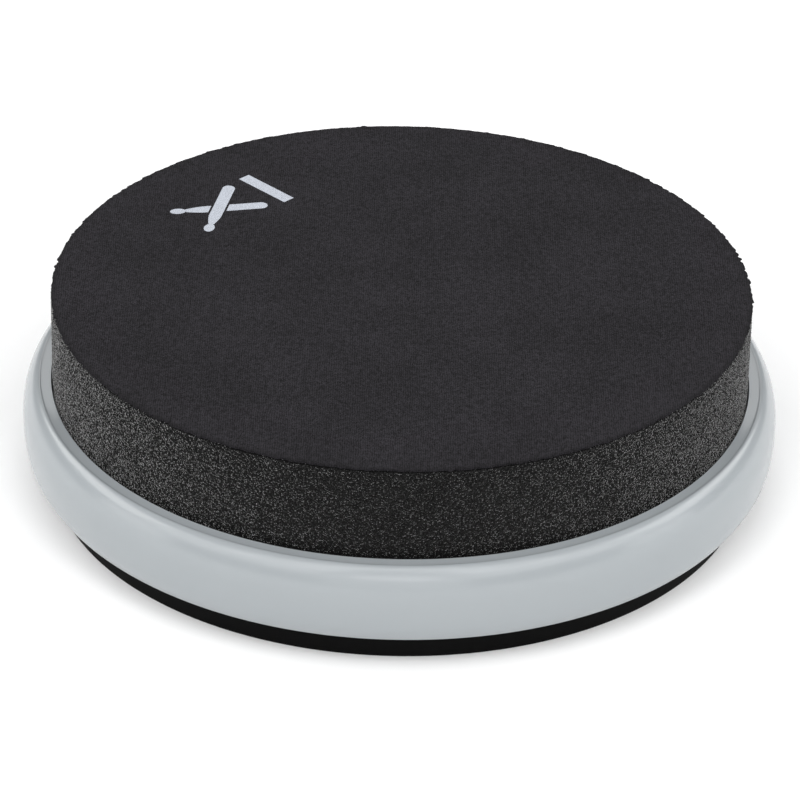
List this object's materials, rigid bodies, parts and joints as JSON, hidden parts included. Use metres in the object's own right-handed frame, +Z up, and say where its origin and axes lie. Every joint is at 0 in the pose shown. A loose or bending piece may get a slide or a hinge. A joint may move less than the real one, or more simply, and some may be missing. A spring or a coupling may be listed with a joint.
{
  "type": "practice pad",
  "caption": "Round drummer's practice pad: thick foam with a cloth top in a moulded plastic rim, on a rubber foot ring, with a threaded stand socket below.",
  "frame": {"origin": "centre of the underside, on the plane of the foot ring's tread", "axes": "+Z up, along the pad's axis, towards the playing surface; -Y is the side nearest the viewer in the picture"},
  "size_m": [0.3048, 0.3048, 0.0837],
  "materials": {
    "playing_cloth": "matte",
    "print_ink": "matte",
    "black_foam": "matte",
    "rim_plastic": "satin",
    "fibreboard": "matte",
    "black_plastic": "matte",
    "foot_rubber": "matte",
    "zinc_steel": "satin"
  },
  "bodies": {
    "root": {"playing_surface": "playing_cloth", "foam_pad": "black_foam", "rim": "rim_plastic", "backing_board": "fibreboard", "base_plate": "black_plastic", "foot_ring": "foot_rubber", "thread_insert": "zinc_steel", "insert_screw_1": "zinc_steel", "insert_screw_2": "zinc_steel", "insert_screw_3": "zinc_steel", "base_screw_1": "zinc_steel", "base_screw_2": "zinc_steel", "base_screw_3": "zinc_steel", "base_screw_4": "zinc_steel", "base_screw_5": "zinc_steel", "base_screw_6": "zinc_steel", "base_screw_7": "zinc_steel", "base_screw_8": "zinc_steel"}
  },
  "joints": []
}
